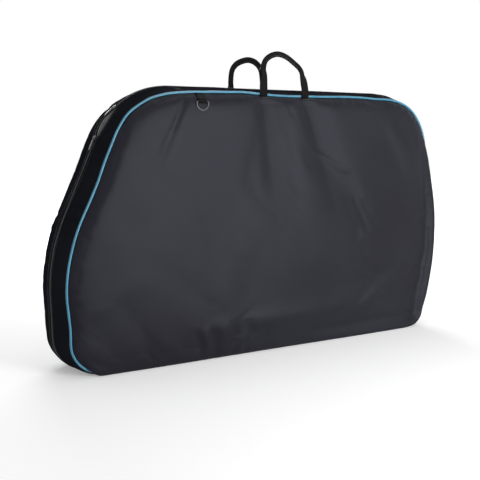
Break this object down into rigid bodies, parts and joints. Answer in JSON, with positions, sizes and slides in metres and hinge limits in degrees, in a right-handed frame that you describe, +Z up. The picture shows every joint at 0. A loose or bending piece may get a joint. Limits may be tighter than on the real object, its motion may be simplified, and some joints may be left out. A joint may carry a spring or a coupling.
{
  "type": "soft bicycle travel bag",
  "caption": "Long upright padded nylon bag for a bicycle with one sloping end: zip-open front half, webbing handles, strap rings, inner wheel pockets and a stiff base.",
  "frame": {"origin": "on the ground, under the middle of the bag's box", "axes": "+X along the bag, away from its sloping end; +Y from the front panel to the back panel; +Z up"},
  "size_m": [1.286, 0.2268, 0.8521],
  "materials": {
    "shell_nylon": "satin coated nylon, charcoal",
    "padding_foam": "closed-cell foam",
    "lining_cloth": "matt woven lining, light grey",
    "piping_cord": "satin coated cord, sky blue",
    "webbing": "woven webbing, black",
    "zip_tape": "woven tape, black",
    "zip_teeth": "moulded coil, black",
    "plated_metal": "dark nickel plate",
    "base_stiffener": "plain sheet"
  },
  "bodies": {
    "back_half": {"back_panel": "shell_nylon", "back_padding": "padding_foam", "back_lining": "lining_cloth", "back_piping": "piping_cord", "back_gusset_left": "shell_nylon", "back_gusset_top": "shell_nylon", "back_gusset_corner": "shell_nylon", "back_gusset_right": "shell_nylon", "back_gusset_lining": "lining_cloth", "back_zip_tape": "zip_tape", "back_zip_coil": "zip_teeth", "back_zip_stop_left": "plated_metal", "back_zip_stop_right": "plated_metal", "back_handle_foot_left": "webbing", "back_handle_foot_right": "webbing", "back_ring_tab": "webbing", "back_wheel_pocket": "lining_cloth", "back_pocket_hem": "webbing", "zip_guard": "lining_cloth", "base_gusset": "shell_nylon", "base_board": "base_stiffener", "base_pad": "lining_cloth", "frame_strap_left": "webbing", "frame_strap_right": "webbing"},
    "front_half": {"front_panel": "shell_nylon", "front_padding": "padding_foam", "front_lining": "lining_cloth", "front_piping": "piping_cord", "front_gusset_left": "shell_nylon", "front_gusset_top": "shell_nylon", "front_gusset_corner": "shell_nylon", "front_gusset_right": "shell_nylon", "front_gusset_lining": "lining_cloth", "front_zip_tape": "zip_tape", "front_zip_coil": "zip_teeth", "front_zip_stop_left": "plated_metal", "front_zip_stop_right": "plated_metal", "front_handle_foot_left": "webbing", "front_handle_foot_right": "webbing", "front_ring_tab": "webbing", "front_wheel_pocket": "lining_cloth", "front_pocket_hem": "webbing"},
    "front_handle": {"front_handle": "webbing"},
    "back_handle": {"back_handle": "webbing"},
    "front_ring": {"front_ring": "plated_metal"},
    "back_ring": {"back_ring": "plated_metal"},
    "lower_slider": {"lower_slider": "plated_metal"},
    "upper_slider": {"upper_slider": "plated_metal"},
    "lower_pull": {"lower_pull": "plated_metal"},
    "upper_pull": {"upper_pull": "plated_metal"}
  },
  "joints": [
    {"name": "front_opening", "type": "hinge", "parent": "back_half", "child": "front_half", "pos_m": [0, -0.085, 0.01], "axis": [1, 0, 0], "range_deg": [0, 72]},
    {"name": "front_handle_fold", "type": "hinge", "parent": "front_half", "child": "front_handle", "pos_m": [0.03024, -0.09145, 0.74156], "axis": [1, 0, 0], "range_deg": [-48, 140]},
    {"name": "back_handle_fold", "type": "hinge", "parent": "back_half", "child": "back_handle", "pos_m": [0.02205, 0.09145, 0.74156], "axis": [-1, 0, 0], "range_deg": [-48, 140]},
    {"name": "front_ring_swing", "type": "hinge", "parent": "front_half", "child": "front_ring", "pos_m": [-0.24948, -0.10967, 0.706], "axis": [-1, 0, 0], "range_deg": [0, 180]},
    {"name": "back_ring_swing", "type": "hinge", "parent": "back_half", "child": "back_ring", "pos_m": [0.24948, 0.10967, 0.706], "axis": [1, 0, 0], "range_deg": [0, 180]},
    {"name": "lower_slider_run", "type": "slide", "parent": "back_half", "child": "lower_slider", "axis": [-0.4092, 0, -0.9125], "range_m": [0, 0.2], "deforming": ["front_zip_coil", "back_zip_coil"]},
    {"name": "upper_slider_run", "type": "hinge", "parent": "back_half", "child": "upper_slider", "pos_m": [-0.29891, 0, 0.52112], "axis": [0, 1, 0], "range_deg": [0, 38], "deforming": ["front_zip_coil", "back_zip_coil"]},
    {"name": "lower_pull_flip", "type": "hinge", "parent": "lower_slider", "child": "lower_pull", "pos_m": [-0.5144, 0, 0.61118], "axis": [0, 1, 0], "range_deg": [0, 170]},
    {"name": "upper_pull_flip", "type": "hinge", "parent": "upper_slider", "child": "upper_pull", "pos_m": [-0.45757, 0, 0.69241], "axis": [0, 1, 0], "range_deg": [0, 170]}
  ]
}
